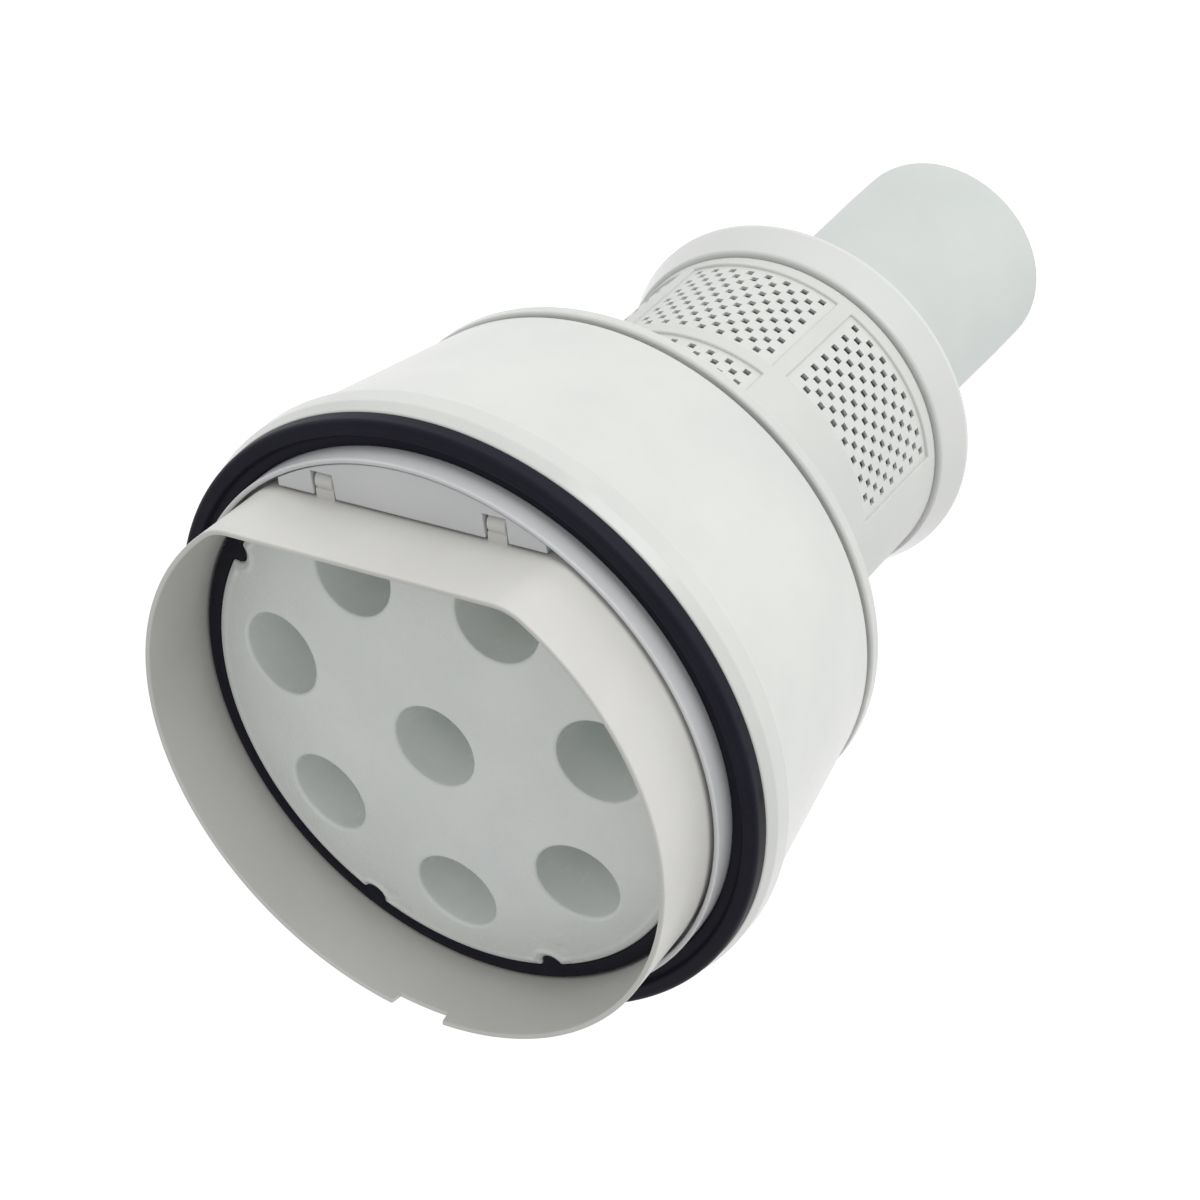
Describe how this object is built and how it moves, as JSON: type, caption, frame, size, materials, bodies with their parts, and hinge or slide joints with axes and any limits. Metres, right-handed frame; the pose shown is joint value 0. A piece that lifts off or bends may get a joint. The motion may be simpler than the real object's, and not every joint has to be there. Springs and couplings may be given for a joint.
{
  "type": "vacuum cleaner cyclone separator core",
  "caption": "Multi-cyclone separator core: stepped round head with outlet plate, rim seal and folding lift ring, mesh shroud, flared skirt and fine-dust tube.",
  "frame": {"origin": "centre of the fine-dust tube's open end, where it stands", "axes": "+Z along the cyclone axis from the tube's end to the outlet plate; +Y towards the lift ring's hinge"},
  "size_m": [0.0964, 0.0964, 0.1615],
  "materials": {
    "shell_plastic": "satin moulded off-white",
    "shroud_plastic": "satin moulded off-white",
    "skirt_plastic": "glossy moulded off-white",
    "tube_plastic": "satin moulded cool grey-white",
    "plate_plastic": "glossy moulded pale grey",
    "cone_plastic": "fine matt moulded pale grey",
    "carrier_plastic": "satin pale lavender grey",
    "ring_plastic": "thin satin warm white",
    "screen_mesh": "fine square mesh moulded in pale grey",
    "black_rubber": "blue-black moulded rubber",
    "grey_rubber": "soft grey rubber",
    "screw_steel": "zinc plated",
    "pin_steel": "ground steel"
  },
  "bodies": {
    "head": {"head_shell": "shell_plastic", "rim_seal": "black_rubber", "seal_carrier": "carrier_plastic", "outlet_plate": "plate_plastic", "plate_gasket": "black_rubber", "cone_gasket": "black_rubber", "cone_deck": "cone_plastic", "cone_middle": "cone_plastic", "cone_1": "cone_plastic", "cone_2": "cone_plastic", "cone_3": "cone_plastic", "cone_4": "cone_plastic", "cone_5": "cone_plastic", "cone_6": "cone_plastic", "cone_7": "cone_plastic", "cone_screws": "screw_steel", "tip_gasket": "black_rubber", "hinge_block": "carrier_plastic", "hinge_pin_left": "pin_steel", "hinge_pin_right": "pin_steel"},
    "lift_ring": {"lift_ring": "ring_plastic"},
    "shroud": {"rear_flange": "shell_plastic", "flange_o_ring": "black_rubber", "shroud_frame": "shroud_plastic", "mesh_screen_lower_1": "screen_mesh", "mesh_screen_lower_2": "screen_mesh", "mesh_screen_lower_3": "screen_mesh", "mesh_screen_lower_4": "screen_mesh", "mesh_screen_lower_5": "screen_mesh", "mesh_screen_upper_1": "screen_mesh", "mesh_screen_upper_2": "screen_mesh", "mesh_screen_upper_3": "screen_mesh", "skirt_ring": "skirt_plastic", "dust_tube": "tube_plastic", "tube_screws": "screw_steel", "tube_end_seal": "grey_rubber"}
  },
  "joints": [
    {"name": "ring_hinge", "type": "hinge", "parent": "head", "child": "lift_ring", "pos_m": [0, 0.037, 0.1477], "axis": [-1, 0, 0], "range_deg": [0, 85]},
    {"name": "shroud_twist", "type": "hinge", "parent": "head", "child": "shroud", "pos_m": [0, 0, 0.1051], "axis": [0, 0, 1], "range_deg": [0, 20]}
  ]
}
